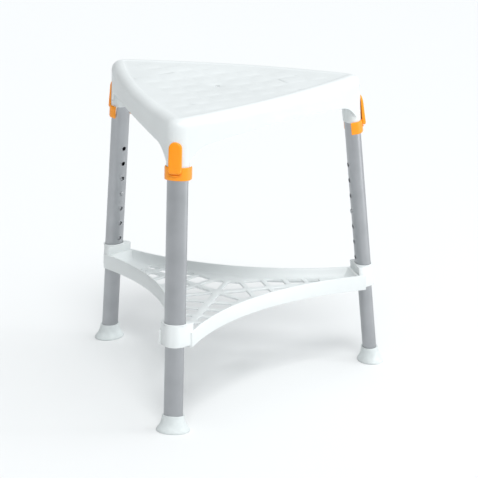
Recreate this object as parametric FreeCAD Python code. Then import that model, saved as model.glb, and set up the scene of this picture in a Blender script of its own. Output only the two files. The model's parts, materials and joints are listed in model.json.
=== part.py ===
"""Three-legged shower stool: moulded seat, tray shelf and three telescopic oval legs.

Millimetres, +Z up. The origin is on the floor, at the middle of the stool's outer box.
The near leg stands on the -Y side; the right and left legs are a third of a turn away.
Every piece is drawn about the stool's own middle axis and moved by MIDDLE_Y at the end.
"""
import FreeCAD, Part
import math
import os

V = FreeCAD.Vector

MIDDLE_Y = 62.5              # from the origin to the stool's middle axis, away from the near leg

# legs: each one leans outward going down, and every leg piece is drawn along its own axis
LEG_TURN = {"near": 0.0, "right": 120.0, "left": 240.0}
LEAN = 5.15                  # degrees from upright
FOOT_R = 258.0               # from the stool's middle to a leg's axis, on the floor
UPPER_A, UPPER_B = 16.5, 12.25   # half sizes of the upper tube, across and along the radius
UPPER_WALL = 1.2
SLIDE_GAP = 0.3
LOWER_WALL = 1.3
LOWER_A = UPPER_A - UPPER_WALL - SLIDE_GAP
LOWER_B = UPPER_B - UPPER_WALL - SLIDE_GAP
UPPER_END, UPPER_TOP = 139.0, 470.0
LOWER_END, LOWER_TOP = 4.0, 284.0

# height adjustment: seven holes down the inner face, with the button in the fourth
HOLE_TOP, HOLE_PITCH, HOLE_COUNT = 336.0, 26.0, 7
REST_HOLE = 3
BUTTON_R, HOLE_R = 3.5, 3.8
BUTTON_W = HOLE_TOP - REST_HOLE * HOLE_PITCH
BUTTON_PROUD = 2.0
STRIP_WIDE, STRIP_THICK, STRIP_DROP = 8.0, 0.8, 46.0

BUSH_END = 132.5
BUSH_RUN = 0.08

# foot
FOOT_A, FOOT_B, FOOT_TOP = 26.4, 21.2, 24.5

# seat
SEAT_TOP = 482.0
SKIRT_END = 405.0
SEAT_WALL, SEAT_PLATE = 3.0, 7.5
EDGE_ROUND = 14.0
CORNER_TOP_R, CORNER_TOP_ROUND = 210.0, 22.0
CORNER_LOW_R, CORNER_LOW_ROUND = 217.0, 17.5
SIDE_TOP, SIDE_LOW = 142.0, 140.0       # from the middle to a side, half way along it
DISH_DEEP, DISH_R = 3.5, 112.0
DRAIN_R = 5.0
ARCH_TOP, ARCH_END, ARCH_HALF = 446.0, 437.0, 149.0
ARCH_SHOULDER = 186.5
SOCKET_WALL, SOCKET_END = 1.7, 393.0
SOCKET_INNER_END = 409.0     # the socket's inner half stops here, above the clip's open side

# clip
CLIP_LOW, CLIP_HIGH = 390.0, 410.0
CLIP_WALL, CLIP_GAP = 1.9, 0.3
CLIP_ARM = 7.0               # how far the band's arms reach past the leg's middle
TONGUE_HALF, TONGUE_LOW, TONGUE_HIGH = 10.5, 402.0, 449.0
TONGUE_INNER, TONGUE_THICK = 15.9, 4.6

# shelf
SHELF_LOW, SHELF_RIM, COLLAR_TOP = 128.0, 154.0, 168.0
FLOOR_LOW, FLOOR_HIGH = 136.0, 140.0
SHELF_SIDE = 94.0            # from the middle to the shelf's side, half way along it
SHELF_SWEEP = 413.0          # radius of that hollow side
SHELF_WALL, SHELF_SLOPE = 3.0, 12.0
ARM_END = 240.0
NOSE = [(-8.0, -14.9), (8.0, -14.9), (25.5, 9.0), (25.5, 15.0), (-25.5, 15.0), (-25.5, 9.0)]
VEIN_BORDER, VEIN_HUB, VEIN_HALF, VEIN_END = 11.0, 54.0, 38.0, 174.0
SPINE_WIDE, SHORT_RIB_WIDE, CROSS_RIB_WIDE = 10.0, 6.0, 5.0
CROSS_RIB_AT = [50.0, 86.0, 120.0, 151.0]


def on_leg(shape):
    """Lean a piece drawn along +Z at the origin to the near leg's axis."""
    out = shape.copy()
    out.rotate(V(0, 0, 0), V(1, 0, 0), -LEAN)
    out.translate(V(0, -FOOT_R, 0))
    return out


def turned(shape, degrees):
    out = shape.copy()
    out.rotate(V(0, 0, 0), V(0, 0, 1), degrees)
    return out


def oval(a, b, low, high):
    wire = Part.Wire(Part.Ellipse(V(0, 0, low), a, b).toShape())
    return Part.Face(wire).extrude(V(0, 0, high - low))


def flat(points, low, high):
    corners = [V(x, y, low) for x, y in points]
    wire = Part.makePolygon(corners + corners[:1])
    return Part.Face(wire).extrude(V(0, 0, high - low))


def side_view(points, half):
    """A closed outline of (y, z) points, made 2 * half wide across x."""
    corners = [V(-half, y, z) for y, z in points]
    wire = Part.makePolygon(corners + corners[:1])
    return Part.Face(wire).extrude(V(2 * half, 0, 0))


def slab(low, high, reach=400.0):
    return Part.makeBox(2 * reach, 2 * reach, high - low, V(-reach, -reach, low))


def polar(r, degrees, z=0.0):
    return V(r * math.cos(math.radians(degrees)), r * math.sin(math.radians(degrees)), z)


# ---------------------------------------------------------------- legs

def upper_tube():
    tube = oval(UPPER_A, UPPER_B, UPPER_END, UPPER_TOP)
    inside = oval(UPPER_A - UPPER_WALL, UPPER_B - UPPER_WALL, UPPER_END - 1, UPPER_TOP + 1)
    tube = tube.cut(inside)
    for n in range(HOLE_COUNT):
        tube = tube.cut(cross_hole(HOLE_TOP - n * HOLE_PITCH))
    return tube


def cross_hole(w):
    return Part.makeCylinder(HOLE_R, UPPER_B + 5, V(0, 0, w), V(0, 1, 0))


def lower_tube():
    tube = oval(LOWER_A, LOWER_B, LOWER_END, LOWER_TOP)
    inside = oval(LOWER_A - LOWER_WALL, LOWER_B - LOWER_WALL, LOWER_END - 1, LOWER_TOP + 1)
    return tube.cut(inside).cut(cross_hole(BUTTON_W))


def guide_bush():
    """Ring below the upper tube's end that the lower tube runs in."""
    ring = oval(UPPER_A, UPPER_B, BUSH_END, UPPER_END)
    return ring.cut(oval(LOWER_A + BUSH_RUN, LOWER_B + BUSH_RUN, BUSH_END - 1, UPPER_END + 1))


def snap_clip():
    """Bent spring strip with the locking button on its inner-facing arm."""
    reach = LOWER_B - LOWER_WALL - 0.5
    bend = 3.2
    low = BUTTON_W - STRIP_DROP
    top = BUTTON_W + 8.0
    t = STRIP_THICK
    outer = [(reach, top), (reach, BUTTON_W - 8), (bend, low), (0.5 * bend, low - 2),
             (-0.5 * bend, low - 2), (-bend, low), (-reach, top)]
    inner = [(-reach + t, top), (-bend + t, low + t), (0, low + t - 1),
             (bend - t, low + t), (reach - t, BUTTON_W - 8), (reach - t, top)]
    strip = side_view(outer + inner, STRIP_WIDE / 2)
    face = UPPER_B + BUTTON_PROUD
    button = Part.makeCylinder(BUTTON_R, face - reach + t / 2, V(0, reach - t / 2, BUTTON_W),
                               V(0, 1, 0))
    rim = [e for e in button.Edges if e.CenterOfMass.y > face - 0.01 and e.Length > 10]
    button = button.makeFillet(1.5, rim)
    return strip.fuse(button).removeSplitter()


def foot():
    """Flared foot: level where it meets the floor, square to the leg at its top."""
    def level(a, b, z):
        at = V(0, -FOOT_R + z * math.tan(math.radians(LEAN)), z)
        return Part.Wire(Part.Ellipse(at, a, b).toShape())

    def square(a, b, w):
        return on_leg(Part.Wire(Part.Ellipse(V(0, 0, w), a, b).toShape()))

    base = Part.makeLoft([level(FOOT_A, FOOT_B, 0), level(FOOT_A, FOOT_B, 3)], True, True)
    flare = Part.makeLoft([level(FOOT_A, FOOT_B, 3), level(21.4, 16.8, 9),
                           square(18.2, 13.9, 16), square(17.0, 12.9, FOOT_TOP)], True, False)
    body = base.fuse(flare)
    return body.cut(on_leg(oval(LOWER_A, LOWER_B, LOWER_END, FOOT_TOP + 5)))


# ---------------------------------------------------------------- seat

def seat_outline(corner_r, corner_round, side, z):
    """Three round corners joined by three slightly bowed sides, tangent to each other."""
    corner_n = corner_r * math.cos(math.radians(60))
    flat_side = side - corner_round
    back = (corner_r ** 2 - flat_side ** 2) / (2 * (flat_side - corner_n))
    edges = []
    for turn in (90.0, 210.0, 330.0):
        centre = polar(-back, turn, z)
        first, last = polar(corner_r, turn - 60, z), polar(corner_r, turn + 60, z)
        start = first + (first - centre).normalize() * corner_round
        end = last + (last - centre).normalize() * corner_round
        edges.append(Part.Arc(start, polar(side, turn, z), end).toShape())
        next_centre = polar(-back, turn + 120, z)
        next_start = last + (last - next_centre).normalize() * corner_round
        nose = polar(corner_r + corner_round, turn + 60, z)
        edges.append(Part.Arc(end, nose, next_start).toShape())
    return Part.Wire(edges)


def seat_block(inset, low, top, edge):
    lower = seat_outline(CORNER_LOW_R, CORNER_LOW_ROUND - inset, SIDE_LOW - inset, low)
    upper = seat_outline(CORNER_TOP_R, CORNER_TOP_ROUND - inset, SIDE_TOP - inset, top)
    block = Part.makeLoft([lower, upper], True, True)
    rim = [e for e in block.Edges if abs(e.BoundBox.ZMin - top) < 0.01]
    return block.makeFillet(edge, rim)


def arch():
    """What is cut from under one side, drawn for the side that faces +Y."""
    half, shoulder = ARCH_HALF, ARCH_SHOULDER
    low = SKIRT_END - 10
    rise = ARCH_END - SKIRT_END
    bend = V(-shoulder + 0.34 * (shoulder - half), 0, SKIRT_END + 0.62 * rise)
    line = [Part.LineSegment(V(shoulder, 0, low), V(-shoulder, 0, low)).toShape(),
            Part.LineSegment(V(-shoulder, 0, low), V(-shoulder, 0, SKIRT_END)).toShape(),
            Part.Arc(V(-shoulder, 0, SKIRT_END), bend, V(-half, 0, ARCH_END)).toShape(),
            Part.Arc(V(-half, 0, ARCH_END), V(0, 0, ARCH_TOP), V(half, 0, ARCH_END)).toShape(),
            Part.Arc(V(half, 0, ARCH_END), V(-bend.x, 0, bend.z),
                     V(shoulder, 0, SKIRT_END)).toShape(),
            Part.LineSegment(V(shoulder, 0, SKIRT_END), V(shoulder, 0, low)).toShape()]
    cutter = Part.Face(Part.Wire(line)).extrude(V(0, 200, 0))
    cutter.translate(V(0, 20, 0))
    return cutter


def seat():
    shell = seat_block(0, SKIRT_END, SEAT_TOP, EDGE_ROUND)
    room = seat_block(SEAT_WALL, SKIRT_END - 5, SEAT_TOP - SEAT_PLATE, EDGE_ROUND - SEAT_WALL)
    sleeve = on_leg(oval(UPPER_A + SOCKET_WALL, UPPER_B + SOCKET_WALL, 380, 500))
    for turn in (0.0, 120.0, 240.0):
        shell = shell.cut(turned(arch(), turn))
    shell = shell.cut(room)
    top_slab = slab(SOCKET_END, SEAT_TOP - 2)
    for turn in LEG_TURN.values():
        shell = shell.fuse(turned(sleeve.common(top_slab), turn))
    dish_ball = (DISH_R ** 2 + DISH_DEEP ** 2) / (2 * DISH_DEEP)
    shell = shell.cut(Part.makeSphere(dish_ball, V(0, 0, SEAT_TOP - DISH_DEEP + dish_ball)))
    shell = shell.cut(Part.makeCylinder(DRAIN_R, 40, V(0, 0, SEAT_TOP - 30)))
    pocket = on_leg(oval(UPPER_A, UPPER_B, 370, UPPER_TOP))
    ring = oval(UPPER_A + 8, UPPER_B + 8, CLIP_LOW - 5, CLIP_HIGH + CLIP_GAP)
    ring = on_leg(ring.cut(oval(UPPER_A + SOCKET_WALL, UPPER_B + SOCKET_WALL, 380, 420)))
    inner_half = on_leg(Part.makeBox(60, 40, SOCKET_INNER_END - 385,
                                     V(-30, CLIP_ARM - 1, 385)))
    for turn in LEG_TURN.values():
        for gap in (pocket, ring, inner_half):
            shell = shell.cut(turned(gap, turn))
    return shell


def clip_outline(a, b, reach, low, high):
    """Half oval on the outer side with straight arms that reach past the leg's middle."""
    half = oval(a, b, low, high).common(Part.makeBox(2 * a, b, high - low, V(-a, -b, low)))
    return half.fuse(Part.makeBox(2 * a, reach, high - low, V(-a, 0, low)))


def leg_clip():
    """U-shaped band round the socket's outer half, with a tongue up the outer corner."""
    a, b = UPPER_A + SOCKET_WALL + CLIP_GAP, UPPER_B + SOCKET_WALL + CLIP_GAP
    outer = clip_outline(a + CLIP_WALL, b + CLIP_WALL, CLIP_ARM, CLIP_LOW, CLIP_HIGH)
    inner = clip_outline(a, b, CLIP_ARM + 5, CLIP_LOW - 1, CLIP_HIGH + 1)
    y0, y1 = -TONGUE_INNER, -TONGUE_INNER - TONGUE_THICK
    tongue = side_view([(y0, TONGUE_LOW), (y1 + 1.5, TONGUE_LOW - 2), (y1, TONGUE_LOW + 2),
                        (y1, TONGUE_LOW + 22), (y0 - 2, TONGUE_HIGH), (y0, TONGUE_HIGH)],
                       TONGUE_HALF)
    round_top = Part.makeCylinder(TONGUE_HALF, 40, V(0, -40, TONGUE_HIGH - TONGUE_HALF),
                                  V(0, 1, 0))
    below = Part.makeBox(2 * TONGUE_HALF, 40, TONGUE_HIGH - TONGUE_HALF - 380,
                         V(-TONGUE_HALF, -40, 380))
    return outer.cut(inner).fuse(tongue.common(round_top.fuse(below)))


# ---------------------------------------------------------------- shelf

def arm_half(a, sweep, side_n):
    """Half the width of a shelf arm at the distance a from the middle."""
    centre = side_n + sweep
    return centre * math.sin(math.radians(60)) - math.sqrt(
        sweep ** 2 - (a - centre / 2) ** 2)


def tray_outline(inset, end, z):
    """Three arms joined by hollow sides: one arc and one short end each."""
    side, sweep = SHELF_SIDE - inset, SHELF_SWEEP + inset
    half = arm_half(end, sweep, side)
    edges = []
    for turn in (-90.0, 30.0, 150.0):
        def across(b, turn=turn):
            return polar(end, turn, z) + polar(b, turn + 90, z) - V(0, 0, z)
        edges.append(Part.LineSegment(across(-half), across(half)).toShape())
        next_turn = turn + 120
        far = polar(end, next_turn, z) + polar(-half, next_turn + 90, z) - V(0, 0, z)
        edges.append(Part.Arc(across(half), polar(side, turn + 60, z), far).toShape())
    return Part.Wire(edges)


def veins():
    """The openings in the shelf's floor: the field between the ribs."""
    low, high = FLOOR_LOW - 2, FLOOR_HIGH + 2
    field = Part.makeCylinder(VEIN_HUB, high - low, V(0, 0, low))
    for turn in (-90.0, 30.0, 150.0):
        band = Part.makeBox(VEIN_END, 2 * VEIN_HALF, high - low, V(0, -VEIN_HALF, low))
        field = field.fuse(turned(band, turn))
    border = Part.Face(tray_outline(VEIN_BORDER, VEIN_END + 5, low))
    field = field.common(border.extrude(V(0, 0, high - low)))
    for turn in (-90.0, 30.0, 150.0):
        field = field.cut(turned(rib(0, 200, SPINE_WIDE), turn))
        field = field.cut(turned(rib(0, 80, SHORT_RIB_WIDE), turn + 60))
        for at in CROSS_RIB_AT:
            bar = Part.makeBox(CROSS_RIB_WIDE, 2 * VEIN_HALF + 4, 20,
                               V(at - CROSS_RIB_WIDE / 2, -VEIN_HALF - 2, FLOOR_LOW - 5))
            field = field.cut(turned(bar, turn))
    return field


def rib(start, end, wide):
    return Part.makeBox(end - start, wide, 20, V(start, -wide / 2, FLOOR_LOW - 5))


def shelf():
    outer = Part.Face(tray_outline(0, ARM_END, SHELF_LOW)).extrude(
        V(0, 0, SHELF_RIM - SHELF_LOW))
    room = Part.makeLoft([tray_outline(SHELF_SLOPE, 214, FLOOR_HIGH),
                          tray_outline(SHELF_WALL, 226, SHELF_RIM + 1)], True, True)
    under = Part.Face(tray_outline(SHELF_WALL, 226, SHELF_LOW - 1)).extrude(
        V(0, 0, FLOOR_LOW - SHELF_LOW + 1))
    tray = outer.cut(room).cut(under).cut(veins())
    collar = on_leg(flat(NOSE, 110, 190)).common(slab(SHELF_LOW, COLLAR_TOP))
    bore = on_leg(oval(UPPER_A, UPPER_B, 100, 200))
    for turn in LEG_TURN.values():
        tray = tray.fuse(turned(collar, turn))
    for turn in LEG_TURN.values():
        tray = tray.cut(turned(bore, turn))
    return tray.removeSplitter()


def save(name, shape):
    if shape.ShapeType != "Solid" and len(shape.Solids) == 1:
        shape = shape.Solids[0]
    if not shape.isValid() or len(shape.Solids) != 1:
        raise ValueError(f"{name} is not one valid solid")
    placed = shape.copy()
    placed.translate(V(0, MIDDLE_Y, 0))
    placed.exportStep(f"parts/{name}.step")


def main():
    os.makedirs("parts", exist_ok=True)
    save("seat", seat())
    save("shelf", shelf())
    pieces = {"upper_tube": on_leg(upper_tube()), "lower_tube": on_leg(lower_tube()),
              "guide_bush": on_leg(guide_bush()), "snap_clip": on_leg(snap_clip()),
              "leg_clip": on_leg(leg_clip()), "foot": foot()}
    for name, piece in pieces.items():
        for leg, turn in LEG_TURN.items():
            save(f"{name}_{leg}", turned(piece, turn))


main()
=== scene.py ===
"""Shower stool: the visible pieces, their materials and a plain studio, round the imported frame."""
import json
import math

import bmesh
import bpy
from bpy.props import FloatProperty, FloatVectorProperty, IntProperty, PointerProperty
from mathutils import Matrix, Vector
from mathutils.geometry import delaunay_2d_cdt


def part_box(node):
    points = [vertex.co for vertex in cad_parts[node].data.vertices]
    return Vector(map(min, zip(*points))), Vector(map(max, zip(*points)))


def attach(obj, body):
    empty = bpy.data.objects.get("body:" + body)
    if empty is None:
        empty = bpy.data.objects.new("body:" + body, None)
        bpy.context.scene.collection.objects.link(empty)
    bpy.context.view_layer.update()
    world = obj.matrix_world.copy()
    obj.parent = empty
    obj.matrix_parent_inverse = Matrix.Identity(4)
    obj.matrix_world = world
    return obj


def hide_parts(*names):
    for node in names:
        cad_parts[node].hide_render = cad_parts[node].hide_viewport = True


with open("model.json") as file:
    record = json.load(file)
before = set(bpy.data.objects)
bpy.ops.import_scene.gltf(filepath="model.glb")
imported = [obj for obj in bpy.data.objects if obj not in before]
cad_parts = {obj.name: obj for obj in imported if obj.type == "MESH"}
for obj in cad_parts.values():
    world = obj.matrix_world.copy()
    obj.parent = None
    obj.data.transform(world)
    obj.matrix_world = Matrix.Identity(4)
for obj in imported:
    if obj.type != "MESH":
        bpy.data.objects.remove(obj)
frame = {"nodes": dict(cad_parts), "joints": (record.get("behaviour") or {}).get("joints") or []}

bl_info = {
    "name": "Shower Stool",
    "version": (1, 0, 0),
    "blender": (4, 5, 0),
    "location": "View3D > Sidebar > Stool",
    "description": "Builds the moulded, extruded and rubber pieces of a three-legged shower stool",
    "category": "Add Mesh",
}

MM = 0.001
LEGS = ("near", "right", "left")
SIDES = (90.0, 210.0, 330.0)      # which way each side of the seat and shelf faces
ARMS = (-90.0, 30.0, 150.0)       # which way each leg stands
STAGE_CENTRE = Vector((0.0, 0.0, 0.26))
WORLD_LEVEL = 0.46                # sky brightness level with the stool, straight ahead
WORLD_RISE = (0.62, 0.05, 0.66)   # how much it rises to the right, to the back and overhead

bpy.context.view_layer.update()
MIDDLE = Vector((0.0, sum(v.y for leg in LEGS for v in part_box(f"foot_{leg}")) / 6, 0.0))
JOINTS = {joint["name"]: joint for joint in frame["joints"]}


# ---------------------------------------------------------------- colours and nodes

def srgb(hex_code, alpha=1.0):
    """Linear colour of an sRGB hex value such as F2F4F5."""
    channels = [int(hex_code[i:i + 2], 16) / 255 for i in (0, 2, 4)]
    linear = [c / 12.92 if c <= 0.04045 else ((c + 0.055) / 1.055) ** 2.4 for c in channels]
    return (*linear, alpha)


def add(tree, kind, settings=None, links=None):
    """Adds a node, sets its attributes or inputs, and links its inputs to other outputs."""
    node = tree.nodes.new(kind)
    for key, value in (settings or {}).items():
        if isinstance(key, str) and hasattr(node, key):
            setattr(node, key, value)
        else:
            node.inputs[key].default_value = value
    for key, source in (links or {}).items():
        tree.links.new(source, node.inputs[key])
    return node


def new_material(name):
    material = bpy.data.materials.new(name)
    material.use_nodes = True
    tree = material.node_tree
    tree.nodes.clear()
    return material, tree


def finish_material(tree, settings, links):
    shader = add(tree, "ShaderNodeBsdfPrincipled", settings, links)
    add(tree, "ShaderNodeOutputMaterial", links={"Surface": shader.outputs["BSDF"]})


def per_metre(size_mm):
    """Noise scale that makes one feature about size_mm across, on coordinates in metres."""
    return 1.0 / (size_mm * MM)


def colour_pair(tree, factor, first, second, low=0.35, high=0.65):
    ramp = add(tree, "ShaderNodeValToRGB", links={"Fac": factor})
    ramp.color_ramp.elements[0].position = low
    ramp.color_ramp.elements[0].color = first
    ramp.color_ramp.elements[1].position = high
    ramp.color_ramp.elements[1].color = second
    return ramp.outputs["Color"]


def spread(tree, factor, low, high):
    mapped = add(tree, "ShaderNodeMapRange", {"To Min": low, "To Max": high}, {"Value": factor})
    return mapped.outputs["Result"]


def moulded_material(name, light, dark, rough, grain_mm=1.6, grain=0.05, ior=1.49, soft=0.0):
    """Injection-moulded plastic: an even body colour, faint flow clouding and a spark-eroded
    grain. The real grain is about 0.2 mm; it is drawn coarser so that it shows."""
    material, tree = new_material(name)
    place = add(tree, "ShaderNodeTexCoord").outputs["Object"]
    cloud = add(tree, "ShaderNodeTexNoise", {"Scale": per_metre(90), "Detail": 3.0},
                {"Vector": place}).outputs["Fac"]
    fine = add(tree, "ShaderNodeTexNoise", {"Scale": per_metre(grain_mm), "Detail": 4.0},
               {"Vector": place}).outputs["Fac"]
    bump = add(tree, "ShaderNodeBump", {"Strength": grain, "Distance": 0.4 * MM},
               {"Height": fine}).outputs["Normal"]
    finish_material(tree, {"IOR": ior, "Subsurface Weight": soft,
                           "Subsurface Radius": (0.004, 0.004, 0.004)},
                    {"Base Color": colour_pair(tree, cloud, dark, light),
                     "Roughness": spread(tree, fine, rough - 0.05, rough + 0.06),
                     "Normal": bump})
    return material


def anodised_aluminium(name, leg, light, dark):
    """Extruded aluminium, etched and clear anodised: a soft sheen with fine die lines that run
    along the tube. Die lines are about 0.3 mm apart; they are drawn at 0.8 mm."""
    material, tree = new_material(name)
    place = add(tree, "ShaderNodeTexCoord").outputs["Object"]
    turn = leg_frame(leg).inverted().to_euler()
    along = add(tree, "ShaderNodeMapping", {"Rotation": turn}, {"Vector": place})
    stretched = add(tree, "ShaderNodeMapping", {"Scale": (1.0, 1.0, 0.01)},
                    {"Vector": along.outputs["Vector"]}).outputs["Vector"]
    lines = add(tree, "ShaderNodeTexNoise", {"Scale": per_metre(0.8), "Detail": 3.0},
                {"Vector": stretched}).outputs["Fac"]
    cloud = add(tree, "ShaderNodeTexNoise", {"Scale": per_metre(35), "Detail": 2.0},
                {"Vector": place}).outputs["Fac"]
    bump = add(tree, "ShaderNodeBump", {"Strength": 0.06, "Distance": 0.1 * MM},
               {"Height": lines}).outputs["Normal"]
    finish_material(tree, {"Metallic": 1.0, "Anisotropic": 0.35},
                    {"Base Color": colour_pair(tree, cloud, srgb(dark), srgb(light)),
                     "Roughness": spread(tree, lines, 0.33, 0.44), "Normal": bump})
    return material


def spring_steel():
    """Rolled stainless strip and a turned button: bright, with fine scratches."""
    material, tree = new_material("rolled_stainless_steel")
    place = add(tree, "ShaderNodeTexCoord").outputs["Object"]
    scratch = add(tree, "ShaderNodeTexNoise", {"Scale": per_metre(0.7), "Detail": 5.0},
                  {"Vector": place}).outputs["Fac"]
    bump = add(tree, "ShaderNodeBump", {"Strength": 0.08, "Distance": 0.05 * MM},
               {"Height": scratch}).outputs["Normal"]
    finish_material(tree, {"Metallic": 1.0},
                    {"Base Color": colour_pair(tree, scratch, srgb("9EA0A2"), srgb("B9BBBD")),
                     "Roughness": spread(tree, scratch, 0.24, 0.4), "Normal": bump})
    return material


def foot_rubber(colours):
    """Moulded thermoplastic rubber: matt, slightly mottled, with a fine blasted skin."""
    material, tree = new_material("moulded_rubber")
    place = add(tree, "ShaderNodeTexCoord").outputs["Object"]
    mottle = add(tree, "ShaderNodeTexNoise", {"Scale": per_metre(12), "Detail": 4.0},
                 {"Vector": place}).outputs["Fac"]
    skin = add(tree, "ShaderNodeTexVoronoi", {"Scale": per_metre(1.2)},
               {"Vector": place}).outputs["Distance"]
    bump = add(tree, "ShaderNodeBump", {"Strength": 0.08, "Distance": 0.3 * MM},
               {"Height": skin}).outputs["Normal"]
    light = (*colours.rubber, 1.0)
    dark = tuple(c * 0.9 for c in colours.rubber) + (1.0,)
    finish_material(tree, {"IOR": 1.52, "Sheen Weight": 0.15, "Sheen Roughness": 0.5},
                    {"Base Color": colour_pair(tree, mottle, dark, light),
                     "Roughness": spread(tree, mottle, 0.55, 0.7), "Normal": bump})
    return material


# ---------------------------------------------------------------- shapes

def polar(r, degrees, z=0.0):
    return Vector((r * math.cos(math.radians(degrees)), r * math.sin(math.radians(degrees)), z))


def leg_frame(leg):
    """Leg axes at its foot, from the stool's middle: X across, Y inwards, Z up the leg."""
    up = -Vector(JOINTS[f"leg_height_{leg}"]["axis"])
    out = Vector((-up.x, -up.y, 0.0)).normalized()
    across = Vector((-out.y, out.x, 0.0))
    inward = up.cross(across)
    at = Matrix.Translation(polar(foot_radius(), math.degrees(math.atan2(out.y, out.x))))
    return at @ Matrix((across, inward, up)).transposed().to_4x4()


def foot_radius():
    """Distance from the middle to a leg's axis on the floor."""
    low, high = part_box("foot_near")
    return MIDDLE.y - (low.y + high.y) / 2


def lean():
    return math.acos(-JOINTS["leg_height_near"]["axis"][2])


def level_in_leg(x, y, z):
    """Point of a leg's own axes that lies at the height z above the floor."""
    return Vector((x, y, (z + y * math.sin(lean())) / math.cos(lean())))


def oval_points(a, b, w, count=72):
    return [Vector((a * math.cos(2 * math.pi * i / count), b * math.sin(2 * math.pi * i / count),
                    w)) for i in range(count)]


def bridge(mesh, rings, loop=False):
    """Quads between rings of equal length; a loop joins the last ring to the first."""
    rows = [[mesh.verts.new(p) for p in ring] for ring in rings]
    pairs = list(zip(rows, rows[1:])) + ([(rows[-1], rows[0])] if loop else [])
    for lower, upper in pairs:
        for i in range(len(lower)):
            j = (i + 1) % len(lower)
            mesh.faces.new((lower[i], lower[j], upper[j], upper[i]))
    return rows


def make_piece(name, build, material, body, nodes=(), sharp=35.0, place=None):
    """Runs build on an empty mesh, gives the piece its material and body, and hides the CAD nodes it
    replaces.
    """
    mesh = bmesh.new()
    build(mesh)
    bmesh.ops.remove_doubles(mesh, verts=mesh.verts, dist=0.01 * MM)
    bmesh.ops.recalc_face_normals(mesh, faces=mesh.faces)
    if place is not None:
        mesh.transform(place)
    data = bpy.data.meshes.new(name)
    mesh.to_mesh(data)
    mesh.free()
    return own_piece(bpy.data.objects.new(name, data), material, body, nodes, sharp)


def own_piece(piece, material, body, nodes=(), sharp=35.0):
    """Moves a piece drawn about the stool's middle to its place, parents it to its body's empty and
    hides the CAD nodes it replaces.
    """
    piece.data.transform(Matrix.Translation(MIDDLE))
    if piece.name not in bpy.context.scene.collection.objects:
        bpy.context.scene.collection.objects.link(piece)
    piece.data.materials.clear()
    piece.data.materials.append(material)
    piece.data.shade_smooth()
    piece.data.set_sharp_from_angle(angle=math.radians(sharp))
    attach(piece, body)
    if nodes:
        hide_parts(*nodes)
    return piece


def evaluated_piece(source, name):
    """Plain mesh object of an object's evaluated modifiers; the source is removed."""
    graph = bpy.context.evaluated_depsgraph_get()
    data = bpy.data.meshes.new_from_object(source.evaluated_get(graph))
    bpy.data.objects.remove(source)
    return bpy.data.objects.new(name, data)


# ---------------------------------------------------------------- seat

SEAT_LOW_Z = 0.405


def seat_form(z, sizes):
    """Corner distance, corner radius and side distance of the seat's outline at a height."""
    f = (z - SEAT_LOW_Z) / (sizes.top - SEAT_LOW_Z)
    return (sizes.corner_low + (sizes.corner_top - sizes.corner_low) * f,
            0.0175 + 0.0045 * f, 0.140 + 0.002 * f)


def seat_samples(per_side=72, per_corner=22):
    """(facing, place along it) of each outline point: sides run -1 to 1, corners 0 to 1."""
    found = []
    for turn in SIDES:
        found += [("side", turn, -math.cos(math.pi * i / per_side)) for i in range(per_side)]
        found += [("corner", turn, i / per_corner) for i in range(per_corner)]
    return found


def seat_point(sample, z, inset, sizes):
    kind, turn, u = sample
    corner, rounding, side = seat_form(z, sizes)
    back, reach = side_arc(corner, rounding, side)
    if kind == "side":
        return polar(-back, turn, z) + polar(side + back - inset, turn + reach * u)
    facing = turn + reach + (120 - 2 * reach) * u
    return polar(corner, turn + 60, z) + polar(rounding - inset, facing)


def skirt_end(sample, sizes):
    """Height of the skirt's lower edge: a shallow arch that turns down to each socket."""
    kind, _, u = sample
    foot = sizes.top - 0.0715
    if kind == "corner":
        return foot
    corner, rounding, side = seat_form(SEAT_LOW_Z, sizes)
    back, reach = side_arc(corner, rounding, side)
    along = abs((side + back) * math.sin(math.radians(reach * u)))
    if along <= sizes.arch_turn:
        return sizes.top - 0.036 - 0.008 * (along / sizes.arch_turn) ** 2
    s = min(1.0, (along - sizes.arch_turn) / (0.1905 - sizes.arch_turn))
    return max(foot, sizes.top - 0.077 + 0.033 * (1 - s ** 1.8) ** 0.75)


def side_arc(corner, rounding, side):
    """How far behind the middle a side's arc is centred, and half its angle in degrees."""
    flat = side - rounding
    back = (corner ** 2 - flat ** 2) / (2 * (flat - corner / 2))
    return back, math.degrees(math.atan2(corner * math.sin(math.radians(60)),
                                         corner / 2 + back))


def field_point(sample, s, sizes, drop=None):
    """Point of the sitting surface: s shrinks the field's edge towards the round drain."""
    edge = seat_point(sample, sizes.top, sizes.edge + 0.0055, sizes)
    ring = Vector((edge.x, edge.y, 0)).normalized() * sizes.drain
    p = (edge * s).lerp(ring, max(0.0, (0.16 - s) / 0.16) ** 0.7)
    r = math.hypot(p.x, p.y)
    return Vector((p.x, p.y, sizes.top - (dish_drop(r, sizes) if drop is None else drop)))


def dish_drop(r, sizes):
    """How far the sitting surface lies below the rim at the distance r from the middle."""
    funnel = 0.0014 * max(0.0, 1 - (r / 0.014) ** 2)
    return 0.0009 + sizes.dish * max(0.0, 1 - (r / sizes.dish_reach) ** 2) + funnel


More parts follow.
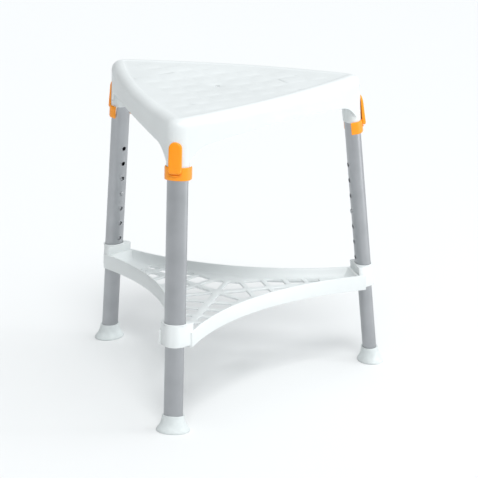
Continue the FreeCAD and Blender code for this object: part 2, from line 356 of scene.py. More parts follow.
def build_seat_shell(mesh, sizes):
    samples = seat_samples()
    wall, top, depth, widest = 0.003, sizes.top, 0.0075, 0.0165
    rings = []
    for i in range(13):
        rings.append([seat_point(k, skirt_end(k, sizes) + (top - sizes.edge - skirt_end(k, sizes))
                                 * i / 12, 0.0, sizes) for k in samples])
    for i in range(1, 13):
        a = math.radians(90 * i / 12)
        z, inset = top - sizes.edge * (1 - math.sin(a)), sizes.edge * (1 - math.cos(a))
        rings.append([seat_point(k, z, inset, sizes) for k in samples])
    for inset, drop in ((0.0015, 0.0), (0.003, 0.0001), (0.004, 0.0004), (0.0048, 0.0007)):
        rings.append([Vector((*seat_point(k, top, sizes.edge + inset, sizes).xy, top - drop))
                      for k in samples])
    steps = 34
    for i in range(steps + 1):
        rings.append([field_point(k, 1 - i / steps, sizes) for k in samples])
    rings.append([p - Vector((0, 0, 0.0015)) for p in rings[-1]])
    under = top - depth
    for s in (0.0, 0.2, 0.5, 0.8):
        rings.append([field_point(k, s, sizes, drop=depth) for k in samples])
    inner = sizes.edge - wall
    for i in range(9):
        a = math.radians(90 * (1 - i / 8))
        z, inset = under - inner * (1 - math.sin(a)), wall + inner * (1 - math.cos(a))
        rings.append([seat_point(k, z, min(inset, widest), sizes) for k in samples])
    for f in (0.75, 0.5, 0.25, 0.0):
        rings.append([seat_point(k, skirt_end(k, sizes) + (under - inner - skirt_end(k, sizes))
                                 * f, wall, sizes) for k in samples])
    rings.append([seat_point(k, skirt_end(k, sizes) - 0.0004, wall / 2, sizes)
                  for k in samples])
    bridge(mesh, rings, loop=True)
    for leg in LEGS:
        build_socket(mesh, leg)


def build_socket(mesh, leg):
    """Oval sleeve that takes the leg's top; its inner half ends above the clip's open side."""
    place = leg_frame(leg)
    profile = [(0.0168, 0.01255, 0.0), (0.0179, 0.01365, -0.0004), (0.0182, 0.01395, 0.0006),
               (0.0182, 0.01395, 0.0200), (0.0188, 0.01455, 0.0450), (0.0188, 0.01455, 0.0800),
               (0.0166, 0.01235, 0.0800), (0.0166, 0.01235, 0.0010)]

    def point(p, rise):
        cut = min(1.0, max(0.0, (p.y - 0.0045) / 0.0015)) * 0.0145
        return place @ Vector((p.x, p.y, 0.3945 + max(rise, cut + min(rise, 0.001))))

    bridge(mesh, [[point(p, rise) for p in oval_points(a, b, 0.0, 120)]
                  for a, b, rise in profile], loop=True)


def pad_tree(material):
    """Raised pads of the sitting surface: one low pillow on every other cell of a grid."""
    tree = bpy.data.node_groups.new("seat_pads", "GeometryNodeTree")
    for label, default in (("Pitch", 0.04), ("Width", 0.034), ("Rise", 0.0007),
                           ("Dish", 0.0026), ("Dish Reach", 0.12), ("Flat", 0.481),
                           ("Border", 0.11), ("Corner", 0.17)):
        socket = tree.interface.new_socket(label, in_out="INPUT", socket_type="NodeSocketFloat")
        socket.default_value = default
    tree.interface.new_socket("Geometry", in_out="OUTPUT", socket_type="NodeSocketGeometry")
    given = add(tree, "NodeGroupInput").outputs

    def calc(operation, a, b=None):
        node = add(tree, "ShaderNodeMath", {"operation": operation})
        for index, value in enumerate((a, b)):
            if value is None:
                continue
            if isinstance(value, (int, float)):
                node.inputs[index].default_value = value
            else:
                tree.links.new(value, node.inputs[index])
        return node.outputs[0]

    cells = 17
    span = calc("MULTIPLY", given["Pitch"], cells - 1)
    grid = add(tree, "GeometryNodeMeshGrid", {"Vertices X": cells, "Vertices Y": cells},
               {"Size X": span, "Size Y": span})
    turned = add(tree, "GeometryNodeTransform", {"Rotation": (0.0, 0.0, math.radians(45))},
                 {"Geometry": grid.outputs["Mesh"]})
    at = add(tree, "ShaderNodeSeparateXYZ",
             links={"Vector": add(tree, "GeometryNodeInputPosition").outputs[0]}).outputs
    inside = None
    for turn in SIDES:
        c, s = math.cos(math.radians(turn)), math.sin(math.radians(turn))
        out = calc("ADD", calc("MULTIPLY", at["X"], c), calc("MULTIPLY", at["Y"], s))
        along = calc("SUBTRACT", calc("MULTIPLY", at["Y"], c), calc("MULTIPLY", at["X"], s))
        bow = calc("MULTIPLY", calc("MULTIPLY", along, along), 0.42)
        near_edge = calc("LESS_THAN", calc("ADD", out, bow), given["Border"])
        inside = near_edge if inside is None else calc("MULTIPLY", inside, near_edge)
    radius = calc("ADD", calc("MULTIPLY", at["X"], at["X"]), calc("MULTIPLY", at["Y"], at["Y"]))
    clear = calc("GREATER_THAN", radius, 0.022 ** 2)
    corner = calc("LESS_THAN", calc("SQRT", radius), given["Corner"])
    keep = calc("MULTIPLY", calc("MULTIPLY", inside, clear), corner)
    share = calc("DIVIDE", radius, calc("MULTIPLY", given["Dish Reach"], given["Dish Reach"]))
    hollow = calc("MULTIPLY", calc("MAXIMUM", calc("SUBTRACT", 1.0, share), 0.0), given["Dish"])
    lifted = calc("SUBTRACT", given["Flat"], hollow)
    moved = add(tree, "GeometryNodeSetPosition",
                links={"Geometry": turned.outputs["Geometry"],
                       "Position": add(tree, "ShaderNodeCombineXYZ",
                                       links={"X": at["X"], "Y": at["Y"],
                                              "Z": lifted}).outputs[0]})
    pad = add(tree, "GeometryNodeMeshGrid",
              {"Vertices X": 9, "Vertices Y": 9, "Size X": 1.0, "Size Y": 1.0})
    here = add(tree, "ShaderNodeSeparateXYZ",
               links={"Vector": add(tree, "GeometryNodeInputPosition").outputs[0]}).outputs

    def hump(axis):
        half = calc("MULTIPLY", calc("ABSOLUTE", axis), 2.0)
        return calc("SUBTRACT", 1.0, calc("POWER", half, 4.0))

    height = calc("MULTIPLY", calc("MULTIPLY", hump(here["X"]), hump(here["Y"])), given["Rise"])
    sunk = calc("SUBTRACT", height, 0.0003)
    shaped = add(tree, "GeometryNodeSetPosition",
                 links={"Geometry": pad.outputs["Mesh"],
                        "Position": add(tree, "ShaderNodeCombineXYZ",
                                        links={"X": calc("MULTIPLY", here["X"], given["Width"]),
                                               "Y": calc("MULTIPLY", here["Y"], given["Width"]),
                                               "Z": sunk}).outputs[0]})
    curve = calc("DIVIDE", given["Dish"], calc("MULTIPLY", given["Dish Reach"],
                                               given["Dish Reach"]))
    slope = calc("MULTIPLY", calc("MULTIPLY", curve, -2.0), calc("LESS_THAN", share, 1.0))
    normal = add(tree, "ShaderNodeCombineXYZ", {"Z": 1.0},
                 {"X": calc("MULTIPLY", at["X"], slope), "Y": calc("MULTIPLY", at["Y"], slope)})
    tilt = add(tree, "FunctionNodeAlignEulerToVector", {"axis": "Z"},
               {"Vector": normal.outputs[0]})
    quarter = add(tree, "FunctionNodeRotateEuler",
                  {"space": "LOCAL", "Rotate By": (0.0, 0.0, math.radians(45))},
                  {"Rotation": tilt.outputs[0]})
    placed = add(tree, "GeometryNodeInstanceOnPoints",
                 links={"Points": moved.outputs["Geometry"], "Selection": keep,
                        "Instance": shaped.outputs["Geometry"],
                        "Rotation": quarter.outputs[0]})
    real = add(tree, "GeometryNodeRealizeInstances",
               links={"Geometry": placed.outputs["Instances"]})
    coloured = add(tree, "GeometryNodeSetMaterial", {"Material": material},
                   {"Geometry": real.outputs["Geometry"]})
    add(tree, "NodeGroupOutput", links={"Geometry": coloured.outputs["Geometry"]})
    return tree


def run_tree(name, tree, values):
    """Mesh object made by a node tree with its named inputs set."""
    holder = bpy.data.objects.new(name + "_source", bpy.data.meshes.new(name + "_source"))
    bpy.context.scene.collection.objects.link(holder)
    modifier = holder.modifiers.new("shape", "NODES")
    modifier.node_group = tree
    for item in tree.interface.items_tree:
        if item.in_out == "INPUT" and item.name in values:
            modifier[item.identifier] = values[item.name]
    return evaluated_piece(holder, name)


# ---------------------------------------------------------------- shelf

SHELF_SIDE, SHELF_SWEEP, SHELF_ARM = 0.094, 0.413, 0.240


def arm_half(a, inset=0.0):
    """Half the width of a shelf arm at the distance a from the middle."""
    centre, sweep = SHELF_SIDE + SHELF_SWEEP, SHELF_SWEEP + inset
    return centre * math.sin(math.radians(60)) - math.sqrt(sweep ** 2 - (a - centre / 2) ** 2)


def arm_end(inset):
    """How far an inset outline reaches along an arm: the collar's block fills the rest."""
    return SHELF_ARM - 4.7 * min(inset, 0.003) - 1.33 * max(0.0, inset - 0.003)


def tray_ring(inset, z, per_side=60, per_end=6):
    centre, sweep = SHELF_SIDE + SHELF_SWEEP, SHELF_SWEEP + inset
    end = arm_end(inset)
    half = arm_half(end, inset)
    points = []
    for arm in ARMS:
        for i in range(per_end):
            b = -half + 2 * half * i / per_end
            points.append(polar(end, arm, z) + polar(b, arm + 90))
        side = arm + 60
        start = polar(end, arm) + polar(half, arm + 90) - polar(centre, side)
        reach = math.atan2(start.cross(polar(1, side + 180)).z,
                           start.dot(polar(1, side + 180)))
        for i in range(per_side):
            turn = side + 180 - math.degrees(reach) * (1 - 2 * i / per_side)
            points.append(polar(centre, side, z) + polar(sweep, turn))
    return points


def build_tray_wall(mesh):
    profile = [(0.0, 0.1300), (0.0, 0.1530), (0.0004, 0.1537), (0.0012, 0.1541),
               (0.0024, 0.1541), (0.0032, 0.1536), (0.0045, 0.1512), (0.0075, 0.1456),
               (0.0100, 0.1419), (0.0120, 0.1404), (0.0150, 0.1399), (0.0150, 0.1366),
               (0.0028, 0.1362), (0.0026, 0.1302), (0.0013, 0.1294)]
    bridge(mesh, [tray_ring(inset, z) for inset, z in profile], loop=True)


def rounded(corners, radius, steps=3):
    """Corners of a flat outline replaced by short arcs."""
    points = []
    for i, corner in enumerate(corners):
        before, after = corners[i - 1], corners[(i + 1) % len(corners)]
        a, b = (before - corner), (after - corner)
        cut = min(radius, 0.45 * a.length, 0.45 * b.length)
        p, q = corner + a.normalized() * cut, corner + b.normalized() * cut
        for k in range(steps + 1):
            t = k / steps
            points.append((1 - t) ** 2 * p + 2 * t * (1 - t) * corner + t * t * q)
    return points


def vein_cells(sizes):
    """Openings of one half arm, as corner lists in (along, across) from the spine."""
    spine, short, rib = sizes.spine / 2, sizes.short_rib / 2, sizes.cross_rib / 2
    ribs = [0.050, 0.086, 0.120, 0.151]
    last = 0.174
    tan60 = math.tan(math.radians(60))

    def across_limit(a):
        return min(0.038, arm_half(a, 0.011))

    first_end = ribs[0] - rib
    low = (spine + 2 * short) / tan60
    tip, reach = 0.036, 0.0445
    hub = [Vector((low, spine)), Vector((first_end, spine)), Vector((first_end, tip)),
           Vector(((tip + 2 * short) / tan60 + 0.006, reach)),
           Vector(((tip + 2 * short) / tan60 + 0.001, tip + 0.003))]
    cells = [hub]
    edges = ribs + [last + rib]
    for start, end in zip(edges, edges[1:]):
        a0, a1 = start + rib, end - rib
        top = [Vector((a, across_limit(a))) for a in (a1, (a0 + a1) / 2, a0)]
        cells.append([Vector((a0, spine)), Vector((a1, spine))] + top)
    return cells


def floor_loops(sizes):
    """Flat outline of the shelf's floor, then its openings, each counter-clockwise."""
    loops = [[p.xy for p in tray_ring(0.0135, 0.0, 30, 3)]]
    for arm in ARMS:
        along, across = polar(1, arm).xy, polar(1, arm + 90).xy
        for mirror in (1.0, -1.0):
            for cell in vein_cells(sizes):
                corners = [along * c.x + across * (c.y * mirror) for c in cell]
                loops.append(rounded(corners, 0.004))
    return [loop if signed_area(loop) > 0 else loop[::-1] for loop in loops]


def grown(loop, by):
    """A counter-clockwise loop moved outwards."""
    found = []
    for i, p in enumerate(loop):
        ahead = (loop[(i + 1) % len(loop)] - p).normalized()
        behind = (p - loop[i - 1]).normalized()
        normal = Vector((ahead.y + behind.y, -ahead.x - behind.x)).normalized()
        spread_out = max(0.5, normal.dot(Vector((ahead.y, -ahead.x))))
        found.append(p + normal * (by / spread_out))
    return found


def inside(p, loop):
    crossings = 0
    for a, b in zip(loop, loop[1:] + loop[:1]):
        if (a.y > p.y) != (b.y > p.y) and p.x < a.x + (p.y - a.y) * (b.x - a.x) / (b.y - a.y):
            crossings += 1
    return crossings % 2 == 1


def build_shelf_floor(mesh, sizes):
    """Ribbed plate with soft-edged openings."""
    low, high, soft = 0.1363, 0.13975, 0.0007
    loops = floor_loops(sizes)
    edges = [loops[0]] + [grown(loop, soft) for loop in loops[1:]]
    for loop in loops[1:]:
        bridge(mesh, [[Vector((*p, z)) for p in grown(loop, by)]
                      for by, z in ((soft, low), (0.0, low + soft), (0.0, high - soft),
                                    (0.3 * soft, high - 0.3 * soft), (soft, high))])
    points, lines = [], []
    for loop in edges:
        first = len(points)
        points += loop
        lines += [(first + i, first + (i + 1) % len(loop)) for i in range(len(loop))]
    flat, _, triangles, *_ = delaunay_2d_cdt(points, lines, [], 0, 1e-9)
    for triangle in triangles:
        middle = sum((flat[i] for i in triangle), Vector((0, 0))) / 3
        if not inside(middle, edges[0]) or any(inside(middle, hole) for hole in edges[1:]):
            continue
        for z in (low, high):
            mesh.faces.new([mesh.verts.new((*flat[i], z)) for i in triangle])


def signed_area(points):
    return sum(p.cross(q) for p, q in zip(points, points[1:] + points[:1])) / 2


def nose_outline(count=96):
    """Collar outline round a leg, in the leg's own axes: narrow outside, wide inside."""
    corners = [Vector(c) * MM for c in ((-7.5, -15.2), (7.5, -15.2), (16.8, -6.0), (25.5, 8.0),
                                       (25.5, 15.0), (-25.5, 15.0), (-25.5, 8.0),
                                       (-16.8, -6.0))]
    fine = rounded(corners, 0.006, 6)
    return resample(fine, count)


def resample(points, count):
    """Outline points at even angles round the leg's axis."""
    found = []
    for i in range(count):
        angle = 2 * math.pi * i / count
        ray = Vector((math.cos(angle), math.sin(angle)))
        best = 0.0
        for p, q in zip(points, points[1:] + points[:1]):
            edge = q - p
            cross = ray.x * edge.y - ray.y * edge.x
            if abs(cross) < 1e-12:
                continue
            t = (p.x * edge.y - p.y * edge.x) / cross
            u = (p.x * ray.y - p.y * ray.x) / cross
            if -1e-6 <= u <= 1 + 1e-6 and t > best:
                best = t
        found.append(ray * best)
    return found


def build_collar(mesh, leg):
    place = leg_frame(leg)
    outline = nose_outline()
    low, high = 0.1330, 0.1670

    def ring(shrink, z):
        return [place @ level_in_leg(p.x * (1 - shrink), p.y * (1 - shrink), z) for p in outline]

    def bore(grow, z):
        count = len(outline)
        return [place @ level_in_leg((0.0165 + grow) * math.cos(2 * math.pi * i / count),
                                     (0.01225 + grow) * math.sin(2 * math.pi * i / count), z)
                for i in range(count)]

    bridge(mesh, [bore(0.0001, low + 0.002), bore(0.0006, low), ring(0.06, low),
                  ring(0.015, low + 0.0006), ring(0.0, low + 0.002), ring(0.0, high - 0.0018),
                  ring(0.02, high - 0.0005), ring(0.07, high), bore(0.0026, high),
                  bore(0.0021, high + 0.0010), bore(0.0012, high + 0.0014),
                  bore(0.0003, high + 0.0010), bore(0.0001, high - 0.002)], loop=True)


# ---------------------------------------------------------------- clips, feet and holes

def stadium(width, low, high, inset, count=18):
    """Upright outline with a round top and soft lower corners, as (across, up) pairs."""
    half = width / 2 - inset
    top = high - width / 2
    points = [Vector((half * math.cos(math.pi * i / count),
                      top + half * math.sin(math.pi * i / count))) for i in range(count + 1)]
    soft = max(0.0006, 0.0042 - inset)
    base = low + inset
    for i in range(7):
        a = math.pi / 2 * i / 6
        points.append(Vector((-half + soft * (1 - math.cos(a)), base + soft * (1 - math.sin(a)))))
    for i in range(7):
        a = math.pi / 2 * (1 - i / 6)
        points.append(Vector((half - soft * (1 - math.cos(a)), base + soft * (1 - math.sin(a)))))
    return points


def build_clip(mesh):
    build_band(mesh, 0.0185, 0.01425, 0.0019, arm=0.0070)
    width, low, high, back = 0.0205, 0.4005, 0.4490, 0.0145

    def front(up):
        """How far the tongue's face stands from the leg's axis: thick below, thin above."""
        f = (up - low) / (high - low)
        return 0.0203 - 0.0016 * f - 0.0012 * max(0.0, f - 0.6) / 0.4

    rings = []
    for inset, depth in ((0.0, None), (0.0, 0.0016), (0.0005, 0.0006), (0.0014, 0.0001),
                         (0.0030, -0.0002), (0.0060, -0.0004), (0.0098, -0.0005)):
        rings.append([Vector((p.x, -back if depth is None else depth - front(p.y), p.y))
                      for p in stadium(width, low, high, inset)])
    rows = bridge(mesh, rings)
    mesh.faces.new(rows[0])
    mesh.faces.new(rows[-1])
    build_clip_lip(mesh)


def build_band(mesh, a, b, wall, arm):
    """U-shaped strap: half an oval outside, straight arms past the leg's middle."""
    stations = [(Vector((a, arm * f, 0)), Vector((1, 0, 0))) for f in (1.0, 0.6, 0.2)]
    for i in range(61):
        t = -math.pi * i / 60
        normal = Vector((math.cos(t) / a, math.sin(t) / b, 0)).normalized()
        stations.append((Vector((a * math.cos(t), b * math.sin(t), 0)), normal))
    stations += [(Vector((-a, arm * f, 0)), Vector((-1, 0, 0))) for f in (0.2, 0.6, 1.0)]
    profile = [(0.0, 0.3906), (0.3, 0.3900), (0.72, 0.3901), (0.93, 0.3908), (1.0, 0.3922),
               (1.0, 0.4084), (0.9, 0.4096), (0.7, 0.4100), (0.25, 0.4100), (0.0, 0.4094)]

    def ring(at, normal, shrink=0.0, push=0.0):
        return [at + Vector((0, push, 0)) + normal * wall * (0.5 + (f - 0.5) * (1 - shrink))
                + Vector((0, 0, 0.4 + (w - 0.4) * (1 - 0.12 * shrink))) for f, w in profile]

    rings = [ring(*stations[0], shrink=0.6, push=0.0009), ring(*stations[0], 0.2, 0.0007)]
    rings += [ring(*station) for station in stations]
    rings += [ring(*stations[-1], shrink=0.2, push=0.0007), ring(*stations[-1], 0.6, 0.0009)]
    rows = bridge(mesh, rings)
    mesh.faces.new(rows[0])
    mesh.faces.new(rows[-1])


def build_clip_lip(mesh):
    """Small curved lip under the tongue, standing on the band."""
    rings = []
    for i in range(17):
        t = -1 + 2 * i / 16
        across = 0.0108 * t
        drop = 0.4003 - 0.0030 * (1 - t * t)
        size = 0.0011 * (1 - 0.55 * abs(t) ** 3)
        y = -0.0165 - 0.0006 + 0.0022 * t * t
        rings.append([Vector((across, y - size * math.cos(2 * math.pi * k / 10),
                              drop + size * math.sin(2 * math.pi * k / 10))) for k in range(10)])
    rows = bridge(mesh, rings)
    mesh.faces.new(rows[0])
    mesh.faces.new(rows[-1])


def build_foot(mesh):
    """Flared foot in the leg's axes, levelled with the floor at its base."""
    tilt = lean()
    profile = [  # (half across, half along, up, how level, 1 = floor)
        (0.0060, 0.0050, 0.0018, 1.0), (0.0150, 0.0115, 0.0018, 1.0), (0.0160, 0.0125, 0.0, 1.0),
        (0.0195, 0.0150, 0.0, 1.0), (0.0205, 0.0158, 0.0014, 1.0), (0.0225, 0.0176, 0.0014, 1.0),
        (0.0234, 0.0184, 0.0, 1.0), (0.0256, 0.0204, 0.0, 1.0), (0.0263, 0.0211, 0.0006, 1.0),
        (0.0264, 0.0212, 0.0016, 1.0), (0.0262, 0.0210, 0.0028, 0.95),
        (0.0253, 0.0202, 0.0042, 0.85), (0.0236, 0.0186, 0.0062, 0.7),
        (0.0217, 0.0169, 0.0088, 0.5), (0.0201, 0.0155, 0.0118, 0.35),
        (0.0189, 0.0144, 0.0152, 0.2), (0.0181, 0.0136, 0.0188, 0.1),
        (0.0176, 0.0131, 0.0218, 0.0), (0.0175, 0.0131, 0.0236, 0.0),
        (0.0171, 0.0127, 0.0243, 0.0), (0.0160, 0.0117, 0.0245, 0.0),
        (0.0153, 0.0110, 0.0243, 0.0), (0.01505, 0.0108, 0.0232, 0.0),
        (0.01505, 0.0108, 0.0060, 0.0)]
    rings = []
    for a, b, up, level in profile:
        shear = math.tan(tilt * level)
        rings.append([Vector((p.x, p.y, up / math.cos(tilt) + p.y * shear))
                      for p in oval_points(a, b, 0.0)])
    rows = bridge(mesh, rings)
    mesh.faces.new(rows[0])
    mesh.faces.new(rows[-1])


def rim_tree(material):
    """Deburred edges of the punched holes: one ring at each hole, evenly down the tube."""
    tree = bpy.data.node_groups.new("hole_rims", "GeometryNodeTree")
    socket = tree.interface.new_socket("Holes", in_out="INPUT", socket_type="NodeSocketInt")
    socket.default_value = 7
    for label, default in (("Pitch", 0.026), ("Top", 0.336), ("Face", 0.012),
                           ("Hole Radius", 0.0038), ("Edge", 0.0004)):
        socket = tree.interface.new_socket(label, in_out="INPUT", socket_type="NodeSocketFloat")
        socket.default_value = default
    tree.interface.new_socket("Geometry", in_out="OUTPUT", socket_type="NodeSocketGeometry")
    given = add(tree, "NodeGroupInput").outputs
    start = add(tree, "ShaderNodeCombineXYZ", links={"Y": given["Face"], "Z": given["Top"]})
    drop = add(tree, "ShaderNodeMath", {"operation": "MULTIPLY", 1: -1.0}, {0: given["Pitch"]})
    step = add(tree, "ShaderNodeCombineXYZ", links={"Z": drop.outputs[0]})
    line = add(tree, "GeometryNodeMeshLine",
               links={"Count": given["Holes"], "Start Location": start.outputs[0],
                      "Offset": step.outputs[0]})
    path = add(tree, "GeometryNodeCurvePrimitiveCircle", {"Resolution": 28},
               {"Radius": given["Hole Radius"]})
    section = add(tree, "GeometryNodeCurvePrimitiveCircle", {"Resolution": 8},
                  {"Radius": given["Edge"]})
    ring = add(tree, "GeometryNodeCurveToMesh", {"Fill Caps": False},
               {"Curve": path.outputs["Curve"], "Profile Curve": section.outputs["Curve"]})
    placed = add(tree, "GeometryNodeInstanceOnPoints",
                 {"Rotation": (math.radians(90), 0.0, 0.0)},
                 {"Points": line.outputs["Mesh"], "Instance": ring.outputs["Mesh"]})
    real = add(tree, "GeometryNodeRealizeInstances",
               links={"Geometry": placed.outputs["Instances"]})
    coloured = add(tree, "GeometryNodeSetMaterial", {"Material": material},
                   {"Geometry": real.outputs["Geometry"]})
    add(tree, "NodeGroupOutput", links={"Geometry": coloured.outputs["Geometry"]})
    return tree


# ---------------------------------------------------------------- settings

class StoolSizes(bpy.types.PropertyGroup):
    """Sizes of the moulded pieces, in metres."""
    top: FloatProperty(name="Seat height", description="Height of the seat's rim",
                       default=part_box("seat")[1].z, unit="LENGTH")
    edge: FloatProperty(name="Edge rounding", description="Radius of the seat's upper edge",
                        default=0.0145, unit="LENGTH")
    corner_top: FloatProperty(name="Corner reach above", default=0.2100, unit="LENGTH",
                              description="Middle to a corner's centre at the top")
    corner_low: FloatProperty(name="Corner reach below", default=0.2180, unit="LENGTH",
                              description="Middle to a corner's centre at the skirt's end")
    dish: FloatProperty(name="Dish", description="How deep the sitting surface is hollowed",
                        default=0.0026, unit="LENGTH")
    dish_reach: FloatProperty(name="Dish reach", description="Radius of the hollow",
                              default=0.120, unit="LENGTH")
    drain: FloatProperty(name="Drain radius", description="Radius of the drain hole",
                         default=0.0050, unit="LENGTH")
    arch_turn: FloatProperty(name="Arch turn", default=0.149, unit="LENGTH",
                             description="Where the skirt's arch turns down to a socket")
    pad_pitch: FloatProperty(name="Pad pitch", description="Spacing of the raised pads",
                             default=0.0390, unit="LENGTH")
    pad_rise: FloatProperty(name="Pad rise", description="Height of a raised pad",
                            default=0.0009, unit="LENGTH")
    spine: FloatProperty(name="Spine width", description="Width of the shelf's long ribs",
                         default=0.0120, unit="LENGTH")
    short_rib: FloatProperty(name="Short rib width", default=0.0085, unit="LENGTH",
                             description="Width of the ribs between the shelf's arms")
    cross_rib: FloatProperty(name="Cross rib width", default=0.0080, unit="LENGTH",
                             description="Width of the ribs across the shelf's arms")
    holes: IntProperty(name="Holes", description="Adjustment holes in each leg", default=7)
    hole_pitch: FloatProperty(name="Hole pitch", description="Spacing of the holes",
                              default=0.0260, unit="LENGTH")


class StoolColours(bpy.types.PropertyGroup):
    """Body colours of the plastics and the rubber."""
    clip: FloatVectorProperty(name="Clip", description="Colour of the leg clips",
                              subtype="COLOR", size=3, default=srgb("FF9C12")[:3])
    rubber: FloatVectorProperty(name="Rubber", description="Colour of the feet",
                                subtype="COLOR", size=3, default=srgb("D3D9D9")[:3])


def sizes():
    return bpy.context.scene.stool_sizes


def white_plastic():
    """The seat's and shelf's polypropylene, made once and shared."""
    name = "moulded_polypropylene"
    return bpy.data.materials.get(name) or moulded_material(name, srgb("DFE3E3"),
                                                            srgb("DBDFDF"), 0.42, soft=0.04)


# ---------------------------------------------------------------- operators

class STOOL_OT_seat(bpy.types.Operator):
    """Build the seat moulding with its sockets and raised pads"""
    bl_idname = "stool.seat"
    bl_label = "Seat"

    def execute(self, context):
        make_piece("seat_moulding", lambda mesh: build_seat_shell(mesh, sizes()),
                   white_plastic(), "stool", ["seat"], sharp=50)
        given = sizes()
        pads = run_tree("seat_pads", pad_tree(white_plastic()), {
            "Pitch": given.pad_pitch, "Width": given.pad_pitch * 0.93, "Rise": given.pad_rise,
            "Dish": given.dish, "Dish Reach": given.dish_reach, "Border": 0.104,
            "Corner": 0.168, "Flat": given.top - 0.0009})
        own_piece(pads, white_plastic(), "stool")
        return {"FINISHED"}


class STOOL_OT_shelf(bpy.types.Operator):
    """Build the tray shelf: wall, ribbed floor and the collars round the legs"""
    bl_idname = "stool.shelf"
    bl_label = "Shelf"

    def execute(self, context):
        def build(mesh):
            build_tray_wall(mesh)
            for leg in LEGS:
                build_collar(mesh, leg)

        make_piece("shelf_tray", build, white_plastic(), "stool", ["shelf"])
        make_piece("shelf_floor", lambda mesh: build_shelf_floor(mesh, sizes()),
                   white_plastic(), "stool", sharp=50)
        return {"FINISHED"}


class STOOL_OT_clips(bpy.types.Operator):
    """Build the clip on each leg's socket"""
    bl_idname = "stool.clips"
    bl_label = "Leg clips"

    def execute(self, context):
        colour = context.scene.stool_colours.clip
        material = moulded_material("moulded_acetal", (*colour, 1.0), srgb("FA960E"), 0.34,
                                    grain_mm=1.2, grain=0.03, ior=1.48, soft=0.05)
        for leg in LEGS:
            make_piece(f"clip_{leg}", build_clip, material, f"leg_clip_{leg}",
                       [f"leg_clip_{leg}"], sharp=40, place=leg_frame(leg))
        return {"FINISHED"}


class STOOL_OT_tubes(bpy.types.Operator):
    """Give the tubes their anodised finish and add the deburred hole edges"""
    bl_idname = "stool.tubes"
    bl_label = "Leg tubes"

    def execute(self, context):
        given = sizes()
        for leg in LEGS:
            metal = anodised_aluminium(f"anodised_aluminium_{leg}", leg, "AFB1B4", "A9ABAE")
            for stem in ("upper_tube", "lower_tube"):
                set_material(f"{stem}_{leg}", metal)
            rims = run_tree(f"hole_rims_{leg}", rim_tree(metal), {
                "Holes": given.holes, "Pitch": given.hole_pitch, "Top": 0.336,
                "Face": 0.01195, "Hole Radius": 0.0038, "Edge": 0.00045})
            rims.data.transform(leg_frame(leg))
            own_piece(rims, metal, "stool")
        return {"FINISHED"}


def set_material(node, material):
    slots = frame["nodes"][node].material_slots
    if not slots:
        raise RuntimeError(f"{node} has no material slot")
    for slot in slots:
        slot.material = material


class STOOL_OT_locks(bpy.types.Operator):
    """Finish the snap clips and the guide bushes inside the legs"""
    bl_idname = "stool.locks"
    bl_label = "Snap clips and bushes"

    def execute(self, context):
        steel = spring_steel()
        bush = moulded_material("natural_acetal", srgb("E4E7E8"), srgb("DDE0E1"), 0.38, ior=1.48)
        for leg in LEGS:
            set_material(f"snap_clip_{leg}", steel)
            set_material(f"guide_bush_{leg}", bush)
        return {"FINISHED"}


class STOOL_OT_feet(bpy.types.Operator):
    """Build the flared rubber feet"""
    bl_idname = "stool.feet"
    bl_label = "Feet"

    def execute(self, context):
        rubber = foot_rubber(context.scene.stool_colours)
        for leg in LEGS:
            make_piece(f"flared_foot_{leg}", build_foot, rubber, f"lower_leg_{leg}",
                       [f"foot_{leg}"], sharp=40, place=leg_frame(leg))
        return {"FINISHED"}


class STOOL_OT_stage(bpy.types.Operator):
    """Lay the pale floor, hang the studio lights and set the camera"""
    bl_idname = "stool.stage"
    bl_label = "Studio"

    def execute(self, context):
        build_floor()
        build_lights(context.scene)
        build_camera(context.scene)
        return {"FINISHED"}


def build_floor():
    data = bpy.data.meshes.new("studio_floor")
    reach = 30.0
    data.from_pydata([(-reach, -reach, 0), (reach, -reach, 0), (reach, reach, 0),
                      (-reach, reach, 0)], [], [(0, 1, 2, 3)])
    floor = bpy.data.objects.new("studio_floor", data)
    bpy.context.scene.collection.objects.link(floor)
    material, tree = new_material("matt_white_floor")
    finish_material(tree, {"Base Color": srgb("E7E8E8"), "Roughness": 0.9,
                           "Specular IOR Level": 0.1}, {})
    data.materials.append(material)


def build_lights(scene):
    world = bpy.data.worlds.new("studio_world")
    scene.world = world
    world.use_nodes = True
    tree = world.node_tree
    tree.nodes.clear()
    towards = add(tree, "ShaderNodeTexCoord").outputs["Generated"]
    bright = add(tree, "ShaderNodeVectorMath", {"operation": "DOT_PRODUCT", 1: WORLD_RISE},
                 {0: towards}).outputs["Value"]
    level = add(tree, "ShaderNodeMath", {"operation": "ADD", 1: WORLD_LEVEL}, {0: bright})
    floor = add(tree, "ShaderNodeMath", {"operation": "MAXIMUM", 1: 0.05},
                {0: level.outputs[0]})
    back = add(tree, "ShaderNodeBackground", {"Color": srgb("F8FBFD")},
               {"Strength": floor.outputs[0]})
    add(tree, "ShaderNodeOutputWorld", links={"Surface": back.outputs[0]})
    sun = bpy.data.lights.new("key_light", "SUN")
    sun.energy, sun.angle = 1.35, math.radians(24)
    aim_light(sun, azimuth=22, elevation=56, distance=3.0)
    area_light("side_strip", azimuth=100, elevation=8, distance=2.2, size=(0.3, 1.6), power=9)


def area_light(name, azimuth, elevation, distance, size, power):
    """Soft light that looks at the stool; azimuth 0 stands in front, 90 on the right."""
    data = bpy.data.lights.new(name, "AREA")
    data.shape = "RECTANGLE"
    data.size, data.size_y = size
    data.energy = power
    aim_light(data, azimuth, elevation, distance)


def aim_light(data, azimuth, elevation, distance):
    light = bpy.data.objects.new(data.name, data)
    away = view_direction(azimuth, elevation)
    light.location = MIDDLE + STAGE_CENTRE + away * distance
    light.rotation_mode = "QUATERNION"
    light.rotation_quaternion = (-away).to_track_quat("-Z", "Y")
    bpy.context.scene.collection.objects.link(light)


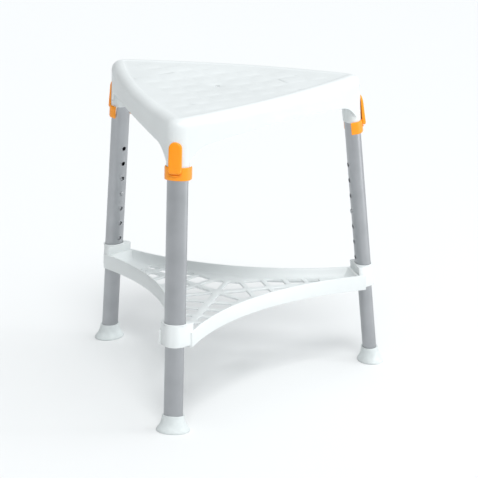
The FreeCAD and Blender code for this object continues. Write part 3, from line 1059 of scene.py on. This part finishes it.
def view_direction(azimuth, elevation):
    a, e = math.radians(azimuth), math.radians(elevation)
    return Vector((math.sin(a) * math.cos(e), -math.cos(a) * math.cos(e), math.sin(e)))


def build_camera(scene):
    """Long lens from the right of the near leg, a little above the seat."""
    data = bpy.data.cameras.new("camera")
    data.lens, data.sensor_width = 208.2, 36.0
    data.clip_start, data.clip_end = 0.1, 100.0
    camera = bpy.data.objects.new("camera", data)
    away = view_direction(14.9, 17.4)
    aim = (-away).to_track_quat("-Z", "Y")
    slide = aim @ Vector((0.0343, -0.0312, 0.0))
    camera.location = MIDDLE + STAGE_CENTRE + away * 4.377 + slide
    camera.rotation_mode = "QUATERNION"
    camera.rotation_quaternion = aim
    scene.collection.objects.link(camera)
    scene.camera = camera
    scene.view_settings.view_transform = "Standard"


class STOOL_PT_panel(bpy.types.Panel):
    """Lists the pieces of the stool"""
    bl_idname = "STOOL_PT_panel"
    bl_label = "Shower stool"
    bl_space_type = "VIEW_3D"
    bl_region_type = "UI"
    bl_category = "Stool"

    def draw(self, context):
        for operator in OPERATORS:
            self.layout.operator(operator.bl_idname)
        for group in (context.scene.stool_sizes, context.scene.stool_colours):
            box = self.layout.box()
            for name in type(group).__annotations__:
                box.prop(group, name)


OPERATORS = (STOOL_OT_seat, STOOL_OT_shelf, STOOL_OT_clips, STOOL_OT_tubes, STOOL_OT_locks,
             STOOL_OT_feet, STOOL_OT_stage)
CLASSES = (StoolSizes, StoolColours, *OPERATORS, STOOL_PT_panel)


def register():
    for cls in CLASSES:
        bpy.utils.register_class(cls)
    bpy.types.Scene.stool_sizes = PointerProperty(type=StoolSizes)
    bpy.types.Scene.stool_colours = PointerProperty(type=StoolColours)


def unregister():
    del bpy.types.Scene.stool_colours
    del bpy.types.Scene.stool_sizes
    for cls in reversed(CLASSES):
        bpy.utils.unregister_class(cls)


def main():
    register()
    bpy.ops.stool.seat()
    bpy.ops.stool.shelf()
    bpy.ops.stool.clips()
    bpy.ops.stool.tubes()
    bpy.ops.stool.locks()
    bpy.ops.stool.feet()
    bpy.ops.stool.stage()


if __name__ == "__main__":
    main()
